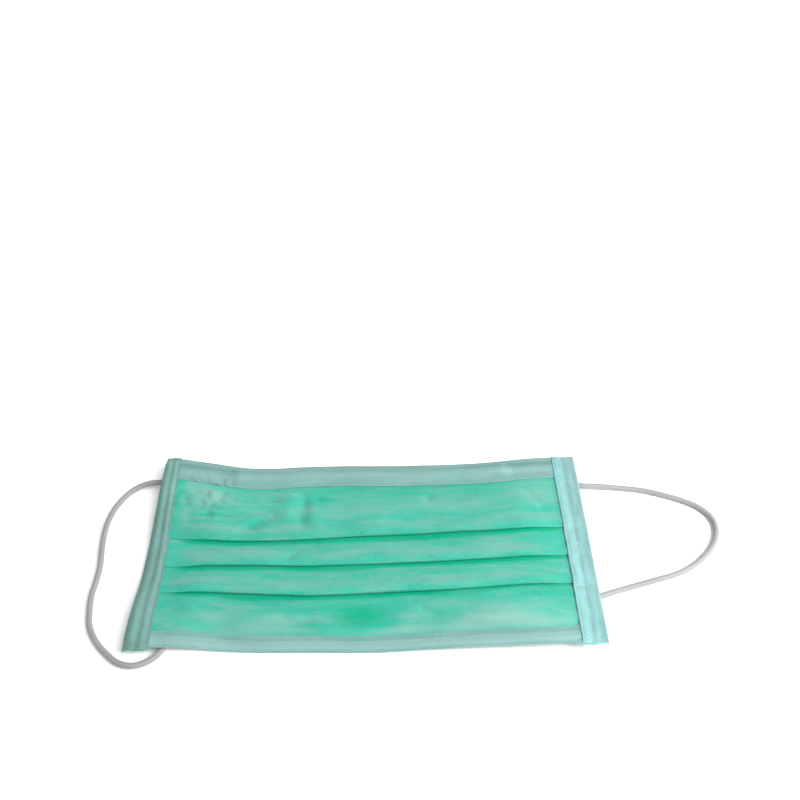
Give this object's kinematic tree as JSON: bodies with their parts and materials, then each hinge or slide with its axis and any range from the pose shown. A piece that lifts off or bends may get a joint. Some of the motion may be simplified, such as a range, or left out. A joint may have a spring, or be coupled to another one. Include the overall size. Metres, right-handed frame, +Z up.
{
  "type": "surgical face mask",
  "caption": "Pleated rectangular face mask of non-woven cloth with a nose wire, bound ends and elastic ear loops, lying flat.",
  "frame": {"origin": "centre of the mask's outline, on the surface that it lies on", "axes": "+X along the mask towards its right end, +Y towards the nose edge, +Z up, out of its outer face"},
  "size_m": [0.2511, 0.0977, 0.009],
  "materials": {
    "panel": "matt green spun-bonded non-woven",
    "hem": "matt pale green non-woven, two plies",
    "binding": "pale aqua non-woven tape with spot welds",
    "elastic": "off-white knitted elastic cord",
    "wire": "white plastic coat"
  },
  "bodies": {
    "root": {"pleated_panel": "panel", "top_hem": "hem", "nose_wire": "wire", "bottom_hem": "hem", "left_side_binding": "binding", "right_side_binding": "binding", "left_ear_loop": "elastic", "right_ear_loop": "elastic"}
  },
  "joints": []
}
